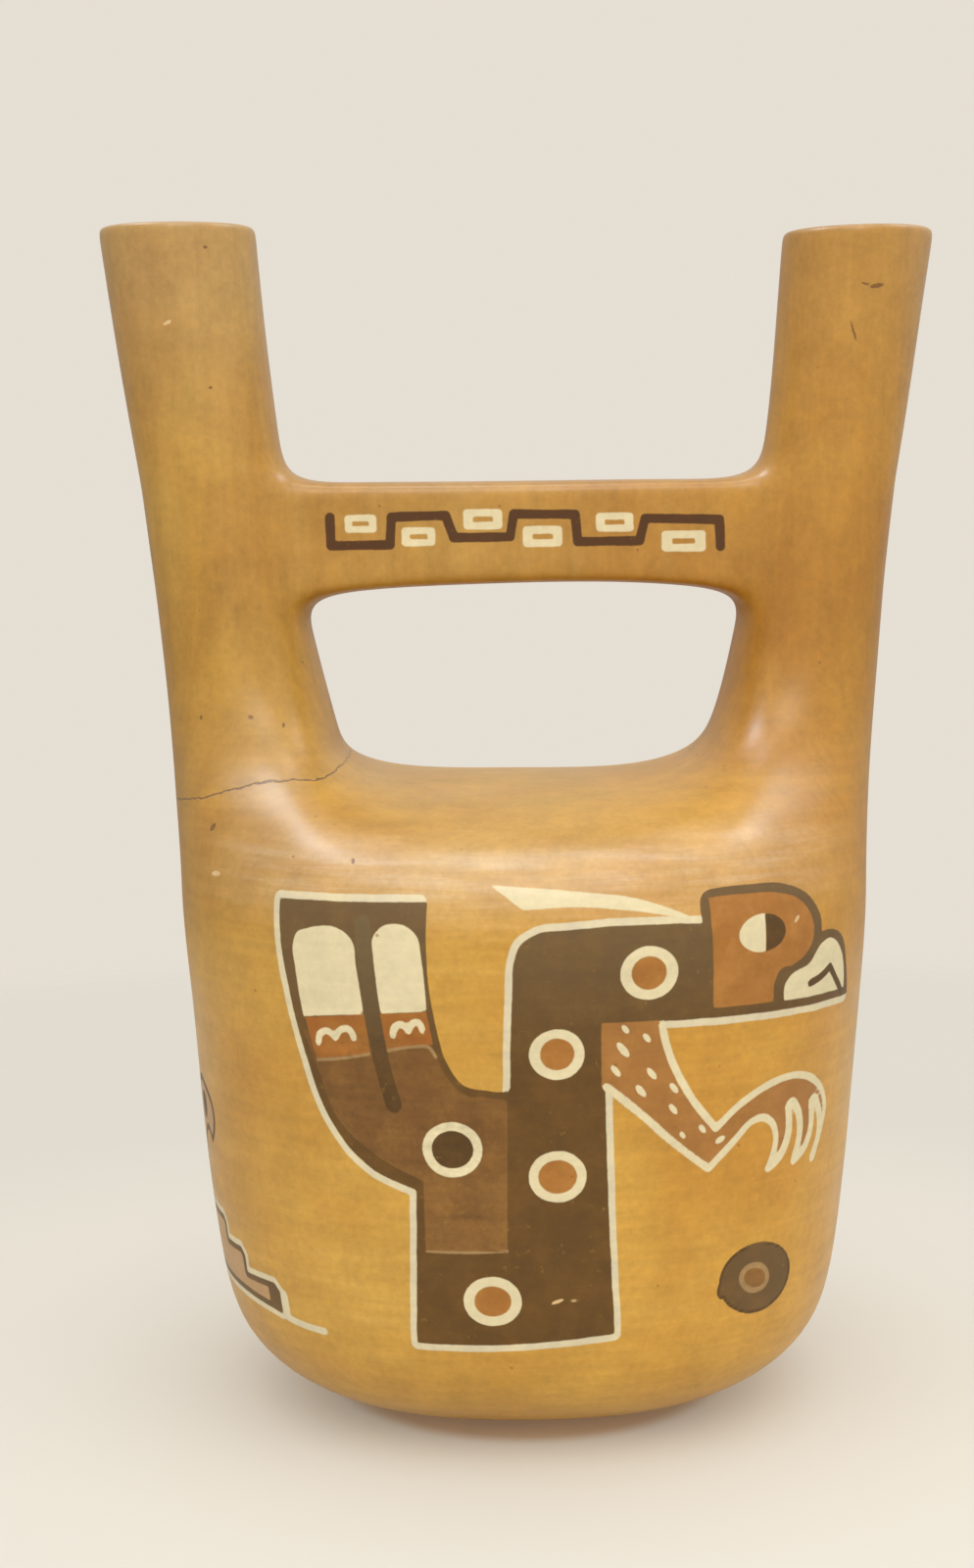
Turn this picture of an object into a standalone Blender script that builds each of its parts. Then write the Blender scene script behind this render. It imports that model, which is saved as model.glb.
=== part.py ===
"""A double spout vessel: a hollow clay body, two open spouts and the bridge between them.

The whole is grown from a flat grid that is pulled up layer by layer: first all of it, as the
body, then its two ends, as the spouts. A copy of that skin, set inwards, gives the wall its
thickness, the bridge is looped between the spouts, and Subdivision Surface rounds it. The
rounded shell is then parted where a potter joins such a vessel: the open bowl, the domed
shoulder, the two spouts at their necks, and the bridge. Fired, they are one piece of clay.

Metres, +Z up. The vessel stands on z = 0 with its painted front towards -Y.
"""

import math

import bmesh
import bpy
from mathutils import Vector

MM = 0.001

# Driving dimensions.
HEIGHT = 252.5 * MM              # floor to the lip of the left spout
BODY_WIDTH = 147.6 * MM          # across the shoulder, left to right
BODY_DEPTH = 136 * MM            # across the shoulder, front to back
FOOT_WIDTH = 136 * MM            # across the wall, where the round of the base begins
BODY_SQUARENESS = 2.4            # 2 is an ellipse in plan, more is squarer
BASE_RADIUS = 25 * MM            # flat spot that the vessel stands on
BASE_MIDDLE = 0.6                # reach of the first grid, inside the rim of that spot
BASE_ROUND = 33 * MM             # height of the round between base and wall
WALL_TOP = 103 * MM              # end of the straight wall
SHOULDER = 126 * MM              # height of the shoulder's corner
SHOULDER_INSET = 4.5 * MM        # how far the shoulder leans in, front and back
SADDLE = 134.5 * MM              # top of the body between the spouts
SADDLE_ARCH = 1.5 * MM           # how much lower it is half way to the front or the back
SADDLE_SPREAD = 1.12             # how far those points stand out from the even grid
SADDLE_RISE = 4 * MM             # how much higher it is where it meets a spout
SADDLE_REACH = 0.92              # and how much nearer to the middle it begins to rise
RIM_RISE = 1.6 * MM              # how much higher the front and the back edge are there
HIP_DROP = 6 * MM                # how much lower the shoulder is below a spout
CLAY = 4.8 * MM                  # thickness of the wall
JOIN_HEIGHT = 102 * MM           # where the domed shoulder sits on the bowl
NECK_HEIGHT = 160 * MM           # where the spouts sit on the shoulder
BRIDGE_REACH = 40 * MM           # from the middle to where the bridge meets a spout's stub
JOIN_GAP = 0.3 * MM              # hairline between two parts
BRIDGE_BOTTOM = 176.5 * MM       # lower edge of the bridge, half way along
BRIDGE_TOP = 198 * MM            # its upper edge
BRIDGE_DEPTH = 20 * MM           # its front face to its back face
BRIDGE_EDGE = 4 * MM             # reach of its rounded edges
BRIDGE_SAG = 3 * MM              # how much lower its under side is at the ends
LIP_EDGE = 2.5 * MM              # reach of the rounded lips
RIGHT_LIP_DROP = 2.6 * MM        # the right spout is that much shorter
LEFT_FULLNESS = 1.03             # the left spout is that much thicker than the plan
RIGHT_FULLNESS = 0.98            # and the right one that much thinner

# Each layer of a spout: height, lift of its inner side, centre, half width, half depth.
BRIDGE_FOOT = BRIDGE_BOTTOM - BRIDGE_SAG
SPOUT_LAYERS = [
    (130 * MM, 15.5 * MM, 58.0 * MM, 16.8 * MM, 37.0 * MM),
    (141 * MM, 15 * MM, 59.8 * MM, 16.0 * MM, 25.5 * MM),
    (155 * MM, 10.5 * MM, 61.4 * MM, 15.6 * MM, 19.8 * MM),
    (BRIDGE_FOOT, 0, 63.0 * MM, 15.6 * MM, 18.0 * MM),
    (BRIDGE_FOOT + BRIDGE_EDGE, 0, 63.5 * MM, 15.5 * MM, 17.7 * MM),
    (BRIDGE_TOP - BRIDGE_EDGE, 0, 65.6 * MM, 15.2 * MM, 16.6 * MM),
    (BRIDGE_TOP, 0, 66.1 * MM, 15.1 * MM, 16.4 * MM),
    (208 * MM, 0, 67.6 * MM, 15.1 * MM, 15.8 * MM),
    (230 * MM, 0, 70.2 * MM, 15.4 * MM, 15.5 * MM),
    (HEIGHT - LIP_EDGE, 0, 72.3 * MM, 16.0 * MM, 16.0 * MM),
    (HEIGHT, 0, 72.5 * MM, 16.1 * MM, 16.1 * MM),
]
BRIDGE_LAYERS = (4, 7)           # the first and the last layer that the bridge touches

# The grid that everything grows from, in faces.
COLUMNS = 8
ROWS = 4
MIDDLE_ROW = ROWS // 2
SPOUT_COLUMNS = 2
BRIDGE_CUTS = 5
SMOOTHNESS = 1                   # levels of subdivision

# Axes of the cuts between the parts.
ACROSS = 0
UP = 2

# Points of a ring of the left spout, in order round it: column and row in the grid.
SPOUT_RING = [(0, 2), (0, 1), (0, 0), (1, 0), (2, 0), (2, 1),
              (2, 2), (2, 3), (2, 4), (1, 4), (0, 4), (0, 3)]


def remove_everything():
    for old in list(bpy.data.objects):
        bpy.data.objects.remove(old, do_unlink=True)


def swell(points):
    """Return how much wider a ring of points is than the smooth ring that it makes."""
    return 6 / (4 + 2 * math.cos(2 * math.pi / points))


def on_edge(column, row):
    return row in (0, ROWS) or column in (0, COLUMNS)


def round_body(column, row, half_width, half_depth):
    """Return x and y of a point of the grid, with the grid's edge laid out round the body."""
    step = math.pi / (COLUMNS + ROWS)
    from_middle = (column - COLUMNS / 2) * step
    if column == COLUMNS:
        angle = (row - MIDDLE_ROW) * step
    elif column == 0:
        angle = math.pi - (row - MIDDLE_ROW) * step
    elif row == 0:
        angle = from_middle - math.pi / 2
    else:
        angle = math.pi / 2 - from_middle
    power = 2 / BODY_SQUARENESS
    x = half_width * math.copysign(abs(math.cos(angle)) ** power, math.cos(angle))
    y = half_depth * math.copysign(abs(math.sin(angle)) ** power, math.sin(angle))
    if not on_edge(column, row):
        y *= (row - MIDDLE_ROW) / MIDDLE_ROW
    return x, y


def body_layers():
    """Return height, half width and half depth of each layer, from the base to the shoulder."""
    foot = FOOT_WIDTH / 2
    shoulder = BODY_WIDTH / 2
    outline = [(0, BASE_RADIUS)]
    for angle in (math.radians(30), math.radians(60)):
        height = BASE_ROUND * (1 - swell(12) * math.cos(angle))
        outline.append((height, BASE_RADIUS + (foot - BASE_RADIUS) * swell(12) * math.sin(angle)))
    for share in (0, 0.5, 1):
        height = BASE_ROUND + (WALL_TOP - BASE_ROUND) * share
        outline.append((height, foot + (shoulder - foot) * share))
    outline.append(((WALL_TOP + SHOULDER) / 2, shoulder))
    outline.append((SHOULDER, shoulder))
    spread = swell(2 * (COLUMNS + ROWS))
    layers = []
    for height, half_width in outline:
        half_depth = half_width * BODY_DEPTH / BODY_WIDTH
        if height == SHOULDER:
            half_depth -= SHOULDER_INSET
        layers.append((height, spread * half_width, spread * half_depth))
    return layers


def points_of(faces):
    return {point for face in faces for point in face.verts}


def extrude(bm, faces, keep=False):
    """Pull the faces off as a new layer and return them. keep leaves the old ones in place."""
    made = bmesh.ops.extrude_face_region(bm, geom=faces)["geom"]
    if not keep:
        bmesh.ops.delete(bm, geom=faces, context="FACES")
    return [item for item in made if isinstance(item, bmesh.types.BMFace)]


def grow_body(bm, address):
    """Pull the whole grid up into the body and return the faces of its top."""
    bmesh.ops.create_grid(bm, x_segments=COLUMNS, y_segments=ROWS, size=1)
    layers = body_layers()
    base_height, base_width, base_depth = layers[0]
    for point in bm.verts:
        column = round((point.co.x + 1) * COLUMNS / 2)
        row = round((point.co.y + 1) * ROWS / 2)
        point[address["column"]] = column
        point[address["row"]] = row
        x, y = round_body(column, row, base_width * BASE_MIDDLE, base_depth * BASE_MIDDLE)
        point.co = (x, y, base_height)
    top = bm.faces[:]
    for height, half_width, half_depth in layers:
        top = extrude(bm, top, keep=height == base_height)
        for point in points_of(top):
            column = point[address["column"]]
            row = point[address["row"]]
            x, y = round_body(column, row, half_width, half_depth)
            point.co = (x, y, height)
    return top


def shape_saddle(top, address):
    """Arch the top of the body from front to back, and let it rise towards the spouts."""
    for point in points_of(top):
        column = point[address["column"]]
        off_middle = abs(point[address["row"]] - MIDDLE_ROW) / MIDDLE_ROW
        at_spout = column in (SPOUT_COLUMNS, COLUMNS - SPOUT_COLUMNS)
        if off_middle < 1:
            point.co.z = SADDLE - 2 * SADDLE_ARCH * off_middle
            point.co.y *= SADDLE_SPREAD
            if at_spout:
                point.co.x *= SADDLE_REACH
                point.co.z += SADDLE_RISE
        elif at_spout:
            point.co.z += RIM_RISE
        if column < SPOUT_COLUMNS or column > COLUMNS - SPOUT_COLUMNS:
            point.co.z = SHOULDER - HIP_DROP


def end_of(top, address, side):
    """Return the faces of the body's top that a spout grows from: -1 left, 1 right."""
    first = 0 if side < 0 else COLUMNS - SPOUT_COLUMNS
    reach = range(first, first + SPOUT_COLUMNS + 1)
    return [face for face in top if all(point[address["column"]] in reach for point in face.verts)]


def place_in_spout(point, address, side, height, lift, centre, half_width, half_depth):
    """Move a point of a spout's layer to its place in the ring, or to the ring's middle line."""
    column = point[address["column"]]
    row = point[address["row"]]
    place = (column if side < 0 else COLUMNS - column, row)
    inward = 0
    along = (row - MIDDLE_ROW) / MIDDLE_ROW
    if place in SPOUT_RING:
        angle = math.pi + SPOUT_RING.index(place) * 2 * math.pi / len(SPOUT_RING)
        inward = swell(len(SPOUT_RING)) * math.cos(angle)
        along = swell(len(SPOUT_RING)) * math.sin(angle)
    x = side * (centre - half_width * inward)
    point.co = (x, half_depth * along, height + lift * max(inward, 0))


def grow_spout(bm, cap, address, side):
    """Pull one end of the body's top up into an open spout."""
    fullness = LEFT_FULLNESS if side < 0 else RIGHT_FULLNESS
    drop = 0 if side < 0 else RIGHT_LIP_DROP
    for number, (height, lift, centre, half_width, half_depth) in enumerate(SPOUT_LAYERS):
        above_bridge = max(height - BRIDGE_TOP, 0) / (HEIGHT - BRIDGE_TOP)
        height -= drop * above_bridge
        centre += half_width * (1 - fullness)
        cap = extrude(bm, cap)
        for point in points_of(cap):
            point[address["layer"]] = number + 1
            place_in_spout(point, address, side, height, lift, centre,
                           half_width * fullness, half_depth * fullness)
    bmesh.ops.delete(bm, geom=cap, context="FACES")


def line_with_wall(bm):
    """Give the open skin its thickness: a copy of it, set inwards, joined to it at the lips."""
    bm.normal_update()
    copy = bmesh.ops.duplicate(bm, geom=bm.verts[:] + bm.edges[:] + bm.faces[:])["geom"]
    inside = [item for item in copy if isinstance(item, bmesh.types.BMFace)]
    steps = {point: point.normal * CLAY for point in points_of(inside)}
    for point, step in steps.items():
        if any(edge.is_boundary for edge in point.link_edges):
            step.z = 0
        point.co -= step
    bmesh.ops.reverse_faces(bm, faces=inside)
    for side in (-1, 1):
        lips = [edge for edge in bm.edges if edge.is_boundary and edge.verts[0].co.x * side > 0]
        bmesh.ops.bridge_loops(bm, edges=lips)


def faces_bridge(face, address):
    """Tell whether a face of a spout's skin is where the bridge meets it."""
    first, last = BRIDGE_LAYERS
    return all(
        point[address["column"]] in (SPOUT_COLUMNS, COLUMNS - SPOUT_COLUMNS)
        and 0 < point[address["row"]] < ROWS
        and first <= point[address["layer"]] <= last
        for point in face.verts
    )


def add_bridge(bm, outside, address):
    """Open both spouts where they face each other and loop the bridge between them."""
    doors = [face for face in outside if faces_bridge(face, address)]
    frames = [edge for face in doors for edge in face.edges]
    frames = [edge for edge in frames if frames.count(edge) == 1]
    bmesh.ops.delete(bm, geom=doors, context="FACES")
    sides = bmesh.ops.bridge_loops(bm, edges=frames)["edges"]
    cut = bmesh.ops.subdivide_edges(bm, edges=sides, cuts=BRIDGE_CUTS, use_grid_fill=True)
    half_way_up = (BRIDGE_FOOT + BRIDGE_TOP) / 2
    span = max(abs(point.co.x) for edge in frames for point in edge.verts)
    for point in cut["geom_inner"]:
        if isinstance(point, bmesh.types.BMVert):
            if abs(point.co.y) > MM:
                point.co.y = math.copysign(BRIDGE_DEPTH / 2, point.co.y)
            if point.co.z < half_way_up:
                point.co.z += BRIDGE_SAG * (1 - (point.co.x / span) ** 2)


def make_cage():
    bm = bmesh.new()
    address = {name: bm.verts.layers.int.new(name) for name in ("column", "row", "layer")}
    top = grow_body(bm, address)
    shape_saddle(top, address)
    ends = [(end_of(top, address, side), side) for side in (-1, 1)]
    for cap, side in ends:
        grow_spout(bm, cap, address, side)
    outside = bm.faces[:]
    line_with_wall(bm)
    add_bridge(bm, outside, address)
    off_centre = (max(point.co.x for point in bm.verts) + min(point.co.x for point in bm.verts)) / 2
    bmesh.ops.translate(bm, verts=bm.verts[:], vec=(-off_centre, 0, 0))
    mesh = bpy.data.meshes.new("cage")
    bm.to_mesh(mesh)
    bm.free()
    return mesh


def round_off(cage):
    """Return the mesh that Subdivision Surface makes of the cage."""
    whole = bpy.data.objects.new("whole", cage)
    bpy.context.scene.collection.objects.link(whole)
    smooth = whole.modifiers.new("smooth", "SUBSURF")
    smooth.levels = SMOOTHNESS
    smooth.render_levels = SMOOTHNESS
    depsgraph = bpy.context.evaluated_depsgraph_get()
    mesh = bpy.data.meshes.new_from_object(whole.evaluated_get(depsgraph))
    bpy.data.objects.remove(whole, do_unlink=True)
    return mesh


def take_part(whole, name, low=(), high=()):
    """Return the part of the shell between its low and high cuts, which are closed flat.

    A cut is an axis and a place on it.
    """
    bm = bmesh.new()
    bm.from_mesh(whole)
    for cuts, outward in ((low, -1), (high, 1)):
        for axis, place in cuts:
            away = Vector([outward if number == axis else 0 for number in range(3)])
            cut = bmesh.ops.bisect_plane(bm, geom=bm.verts[:] + bm.edges[:] + bm.faces[:],
                                         plane_co=away * (place * outward - JOIN_GAP / 2),
                                         plane_no=away, clear_outer=True)
            rims = [item for item in cut["geom_cut"] if isinstance(item, bmesh.types.BMEdge)]
            filled = bmesh.ops.triangle_fill(bm, use_beauty=True, edges=rims, normal=away)
            for item in filled["geom"]:
                if isinstance(item, bmesh.types.BMFace):
                    item.smooth = False
    bmesh.ops.recalc_face_normals(bm, faces=bm.faces[:])
    mesh = bpy.data.meshes.new(name)
    bm.to_mesh(mesh)
    bm.free()
    return bpy.data.objects.new(name, mesh)


def slip_material():
    """Ochre slip over fired clay, burnished to a satin gloss."""
    material = bpy.data.materials.new("ochre_slip")
    material.use_nodes = True
    shader = material.node_tree.nodes["Principled BSDF"]
    shader.inputs["Base Color"].default_value = (0.58, 0.30, 0.06, 1)
    shader.inputs["Roughness"].default_value = 0.38
    shader.inputs["Metallic"].default_value = 0
    return material


def main():
    remove_everything()
    pottery = bpy.data.collections.new("double_spout_vessel")
    bpy.context.scene.collection.children.link(pottery)
    whole = round_off(make_cage())
    join, neck = (UP, JOIN_HEIGHT), (UP, NECK_HEIGHT)
    left_end, right_end = (ACROSS, -BRIDGE_REACH), (ACROSS, BRIDGE_REACH)
    pieces = [
        take_part(whole, "vessel_bowl", high=[join]),
        take_part(whole, "vessel_shoulder", low=[join], high=[neck]),
        take_part(whole, "left_spout", low=[neck], high=[left_end]),
        take_part(whole, "right_spout", low=[neck, right_end]),
        take_part(whole, "bridge", low=[neck, left_end], high=[right_end]),
    ]
    slip = slip_material()
    for piece in pieces:
        piece.data.materials.append(slip)
        pottery.objects.link(piece)


main()
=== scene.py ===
import math

import bmesh
import bpy
import numpy as np
from mathutils import Matrix, Vector
from mathutils.bvhtree import BVHTree


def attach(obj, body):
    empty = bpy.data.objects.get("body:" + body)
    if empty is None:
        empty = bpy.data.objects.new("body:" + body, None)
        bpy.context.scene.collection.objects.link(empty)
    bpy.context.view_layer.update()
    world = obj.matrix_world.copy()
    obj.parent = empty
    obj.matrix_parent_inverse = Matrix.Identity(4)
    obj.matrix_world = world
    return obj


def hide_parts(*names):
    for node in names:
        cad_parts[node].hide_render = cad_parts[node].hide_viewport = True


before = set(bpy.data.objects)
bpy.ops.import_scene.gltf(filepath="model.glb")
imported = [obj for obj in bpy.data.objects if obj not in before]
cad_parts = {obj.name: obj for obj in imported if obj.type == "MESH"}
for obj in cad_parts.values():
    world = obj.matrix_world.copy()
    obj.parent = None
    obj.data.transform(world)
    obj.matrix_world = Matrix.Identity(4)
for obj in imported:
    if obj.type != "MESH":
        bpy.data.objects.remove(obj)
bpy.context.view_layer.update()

mm = 0.001               # the vessel is shaped in millimetres and scaled once


def placed(name, data):                  # a new object in the scene
    made = bpy.data.objects.new(name, data)
    bpy.context.scene.collection.objects.link(made)
    return made


cameraSet = {
    "place": (-0.0076, -0.530, 0.1956),      # metres; half a metre off, level with the bridge
    "lens": 56.25,
    "nearest": 0.01,
    "lookDown": 6.84,               # degrees
    "lean": -0.8,
}
camera = placed("camera", bpy.data.cameras.new("camera"))
camera.data.lens = cameraSet["lens"]
camera.data.clip_start = cameraSet["nearest"]
camera.matrix_world = (Matrix.Translation(cameraSet["place"])
                       @ Matrix.Rotation(math.radians(90 - cameraSet["lookDown"]), 4, "X")
                       @ Matrix.Rotation(math.radians(cameraSet["lean"]), 4, "Z"))
bpy.context.scene.camera = camera

studio = {
    "floorSize": 0.62,              # radius in metres
    "floorCorners": 64,
    "floorFade": (0.42, 0.52),      # where the floor melts into the background
    "floorColour": (0.600, 0.602, 0.576, 1),
    "floorPool": (0.690, 0.690, 0.665, 1),     # a painted pool of light round the piece
    "poolFade": (0.10, 0.26),
    "floorUnder": (0.560, 0.430, 0.300, 1),    # painted contact shadow close to the base
    "underFade": (0.039, 0.045),
    "floorDull": 0.9,
    "floorGloss": 0.15,
    "wall": (0.790, 0.735, 0.655),
    "air": (1.0, 0.945, 0.86),
    "airFrom": {"X": (0.12, 0.28), "Y": (0.38, 0.0), "Z": (0.0, 0.72)},    # from each end of an axis
    "airTurn": (-0.5, 0.5),         # where the one passes into the other
    "lamps": [
        # name, place, size, watts
        ("sheenLeft", (-0.61, 0.14, 1.32), 0.46, 10.5),
        ("sheenMiddle", (0, 0.10, 1.35), 0.45, 3.5),
        ("sheenRight", (0.76, 0.27, 1.27), 0.50, 6),
        ("sheenFront", (0, -0.80, 1.25), 0.70, 6),
        ("fill", (0, -1.50, 1.40), 1.20, 15.5),
    ],
    "lampAim": (0, 0, 0.11),
    "fillColour": (1.0, 0.95, 0.88),
    "sheenColour": (0.82, 0.96, 1.12),
}

vessel = {
    "height": 252.5,
    "bodyWidth": 147.6,
    "bodyDepth": 136,
    "footWidth": 136,
    "squareness": 2.4,              # 2 is an ellipse in plan, more is squarer
    "baseRadius": 25,
    "baseMiddle": 0.6,              # reach of the first grid inside the flat base
    "baseRound": 33,
    "baseAngles": (30, 60),         # degrees round it at which it has a layer
    "baseCorners": 12,              # how many such points a full round would have
    "wallTop": 103,
    "shoulder": 126,
    "shoulderInset": 4.5,
    "saddle": 134.5,
    "saddleArch": 1.5,
    "saddleSpread": 1.12,
    "saddleRise": 4,
    "saddleReach": 0.92,
    "rimRise": 1.6,
    "hipDrop": 6,
    "clay": 4.8,                    # thickness of the wall
    "bridgeBottom": 176.5,
    "bridgeTop": 198,
    "bridgeDepth": 20,
    "bridgeEdge": 4,
    "bridgeSag": 3,
    "lipEdge": 2.5,
    "rightLipDrop": 2.6,
    "fullness": {-1: 1.03, 1: 0.98},         # of the left spout and the right one
    "columns": 8,
    "rows": 4,
    "spoutColumns": 2,
    "bridgeCuts": 5,
    "bridgeLayers": (4, 7),
    "smoothness": 2,                # levels of subdivision
    "skinSmoothness": 4,
}
bridgeFoot = vessel["bridgeBottom"] - vessel["bridgeSag"]

# each layer of a spout: height, lift of its inner side, centre, half width, half depth
spoutLayers = [
    (130, 15.5, 58.0, 16.8, 37.0),
    (141, 15, 59.8, 16.0, 25.5),
    (155, 10.5, 61.4, 15.6, 19.8),
    (bridgeFoot, 0, 63.0, 15.6, 18.0),
    (bridgeFoot + vessel["bridgeEdge"], 0, 63.5, 15.5, 17.7),
    (vessel["bridgeTop"] - vessel["bridgeEdge"], 0, 65.6, 15.2, 16.6),
    (vessel["bridgeTop"], 0, 66.1, 15.1, 16.4),
    (208, 0, 67.6, 15.1, 15.8),
    (230, 0, 70.2, 15.4, 15.5),
    (vessel["height"] - vessel["lipEdge"], 0, 72.3, 16.0, 16.0),
    (vessel["height"], 0, 72.5, 16.1, 16.1),
]

# points of a ring of the left spout, in order round it: column and row in the grid
spoutRing = [(0, 2), (0, 1), (0, 0), (1, 0), (2, 0), (2, 1),
             (2, 2), (2, 3), (2, 4), (1, 4), (0, 4), (0, 3)]
middleRow = vessel["rows"] // 2


def swell(points):       # how much wider a ring of points is than the smooth ring it makes
    return 6 / (4 + 2 * math.cos(2 * math.pi / points))


def roundBody(column, row, halfWidth, halfDepth):    # x and y of a grid point laid round the body
    step = math.pi / (vessel["columns"] + vessel["rows"])
    fromMiddle = (column - vessel["columns"] / 2) * step
    if column == vessel["columns"]:
        angle = (row - middleRow) * step
    elif column == 0:
        angle = math.pi - (row - middleRow) * step
    elif row == 0:
        angle = fromMiddle - math.pi / 2
    else:
        angle = math.pi / 2 - fromMiddle
    power = 2 / vessel["squareness"]
    x = halfWidth * math.copysign(abs(math.cos(angle)) ** power, math.cos(angle))
    y = halfDepth * math.copysign(abs(math.sin(angle)) ** power, math.sin(angle))
    if row not in (0, vessel["rows"]) and column not in (0, vessel["columns"]):
        y *= (row - middleRow) / middleRow
    return x, y


def bodyLayers():        # height, half width and half depth, from the base to the shoulder
    foot, widest = vessel["footWidth"] / 2, vessel["bodyWidth"] / 2
    outline = [(0, vessel["baseRadius"])]
    wider = swell(vessel["baseCorners"])
    for angle in np.radians(vessel["baseAngles"]):
        rise = vessel["baseRound"] * (1 - wider * math.cos(angle))
        reach = vessel["baseRadius"] + (foot - vessel["baseRadius"]) * wider * math.sin(angle)
        outline.append((rise, reach))
    for share in (0, 0.5, 1):
        rise = vessel["baseRound"] + (vessel["wallTop"] - vessel["baseRound"]) * share
        outline.append((rise, foot + (widest - foot) * share))
    outline.append(((vessel["wallTop"] + vessel["shoulder"]) / 2, widest))
    outline.append((vessel["shoulder"], widest))
    spread = swell(2 * (vessel["columns"] + vessel["rows"]))
    layers = []
    for rise, halfWidth in outline:
        halfDepth = halfWidth * vessel["bodyDepth"] / vessel["bodyWidth"]
        if rise == vessel["shoulder"]:
            halfDepth -= vessel["shoulderInset"]
        layers.append((rise, spread * halfWidth, spread * halfDepth))
    return layers


def pointsOf(faces):
    return {point for face in faces for point in face.verts}


def pullUp(bm, faces, keep=False):       # extrude, and drop the faces left behind unless kept
    made = bmesh.ops.extrude_face_region(bm, geom=faces)["geom"]
    if not keep:
        bmesh.ops.delete(bm, geom=faces, context="FACES")
    return [item for item in made if isinstance(item, bmesh.types.BMFace)]


def growBody(bm, tag):
    bmesh.ops.create_grid(bm, x_segments=vessel["columns"], y_segments=vessel["rows"], size=1)
    layers = bodyLayers()
    rise, halfWidth, halfDepth = layers[0]
    middle = vessel["baseMiddle"]
    for point in bm.verts:
        column = round((point.co.x + 1) * vessel["columns"] / 2)
        row = round((point.co.y + 1) * vessel["rows"] / 2)
        point[tag["column"]], point[tag["row"]] = column, row
        x, y = roundBody(column, row, halfWidth * middle, halfDepth * middle)
        point.co = (x, y, rise)
    top = bm.faces[:]
    for rise, halfWidth, halfDepth in layers:
        top = pullUp(bm, top, keep=rise == 0)
        for point in pointsOf(top):
            x, y = roundBody(point[tag["column"]], point[tag["row"]], halfWidth, halfDepth)
            point.co = (x, y, rise)
    return top


def shapeSaddle(top, tag):               # the arched top between the spouts
    first, last = vessel["spoutColumns"], vessel["columns"] - vessel["spoutColumns"]
    for point in pointsOf(top):
        column = point[tag["column"]]
        offMiddle = abs(point[tag["row"]] - middleRow) / middleRow
        if offMiddle < 1:
            point.co.z = vessel["saddle"] - 2 * vessel["saddleArch"] * offMiddle
            point.co.y *= vessel["saddleSpread"]
            if column in (first, last):
                point.co.x *= vessel["saddleReach"]
                point.co.z += vessel["saddleRise"]
        elif column in (first, last):
            point.co.z += vessel["rimRise"]
        if column < first or column > last:
            point.co.z = vessel["shoulder"] - vessel["hipDrop"]


def endOf(top, tag, side):               # the faces that a spout grows from: -1 left, 1 right
    first = 0 if side < 0 else vessel["columns"] - vessel["spoutColumns"]
    reach = range(first, first + vessel["spoutColumns"] + 1)
    return [face for face in top if all(point[tag["column"]] in reach for point in face.verts)]


def growSpout(bm, cap, tag, side):
    full = vessel["fullness"][side]
    ringSwell = swell(len(spoutRing))
    for number, (rise, lift, centre, halfWidth, halfDepth) in enumerate(spoutLayers):
        if side > 0:
            aboveBridge = max(rise - vessel["bridgeTop"], 0) / (vessel["height"] - vessel["bridgeTop"])
            rise -= vessel["rightLipDrop"] * aboveBridge
        centre += halfWidth * (1 - full)
        cap = pullUp(bm, cap)
        for point in pointsOf(cap):
            point[tag["layer"]] = number + 1
            column, row = point[tag["column"]], point[tag["row"]]
            place = (column if side < 0 else vessel["columns"] - column, row)
            inward, along = 0, (row - middleRow) / middleRow
            if place in spoutRing:
                angle = math.pi + spoutRing.index(place) * 2 * math.pi / len(spoutRing)
                inward = ringSwell * math.cos(angle)
                along = ringSwell * math.sin(angle)
            x = side * (centre - halfWidth * full * inward)
            point.co = (x, halfDepth * full * along, rise + lift * max(inward, 0))
    bmesh.ops.delete(bm, geom=cap, context="FACES")


def lineWithWall(bm):                    # the inner skin, joined to the outer one at the lips
    bm.normal_update()
    copy = bmesh.ops.duplicate(bm, geom=bm.verts[:] + bm.edges[:] + bm.faces[:])["geom"]
    inside = [item for item in copy if isinstance(item, bmesh.types.BMFace)]
    for face in inside:
        face.material_index = 1          # marks the inner skin
    steps = {point: point.normal * vessel["clay"] for point in pointsOf(inside)}
    for point, step in steps.items():
        if any(edge.is_boundary for edge in point.link_edges):
            step.z = 0
        point.co -= step
    bmesh.ops.reverse_faces(bm, faces=inside)
    for side in (-1, 1):
        lips = [edge for edge in bm.edges if edge.is_boundary and edge.verts[0].co.x * side > 0]
        bmesh.ops.bridge_loops(bm, edges=lips)


def facesBridge(face, tag):
    first, last = vessel["bridgeLayers"]
    ends = (vessel["spoutColumns"], vessel["columns"] - vessel["spoutColumns"])
    return all(point[tag["column"]] in ends and 0 < point[tag["row"]] < vessel["rows"]
               and first <= point[tag["layer"]] <= last for point in face.verts)


def addBridge(bm, outside, tag):
    doors = [face for face in outside if facesBridge(face, tag)]
    frames = [edge for face in doors for edge in face.edges]
    frames = [edge for edge in frames if frames.count(edge) == 1]
    bmesh.ops.delete(bm, geom=doors, context="FACES")
    sides = bmesh.ops.bridge_loops(bm, edges=frames)["edges"]
    cut = bmesh.ops.subdivide_edges(bm, edges=sides, cuts=vessel["bridgeCuts"], use_grid_fill=True)
    halfWayUp = (bridgeFoot + vessel["bridgeTop"]) / 2
    span = max(abs(point.co.x) for edge in frames for point in edge.verts)
    for point in cut["geom_inner"]:
        if isinstance(point, bmesh.types.BMVert):
            if abs(point.co.y) > vessel["bridgeDepth"] / 20:     # all but the middle line
                point.co.y = math.copysign(vessel["bridgeDepth"] / 2, point.co.y)
            if point.co.z < halfWayUp:
                point.co.z += vessel["bridgeSag"] * (1 - (point.co.x / span) ** 2)


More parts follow.
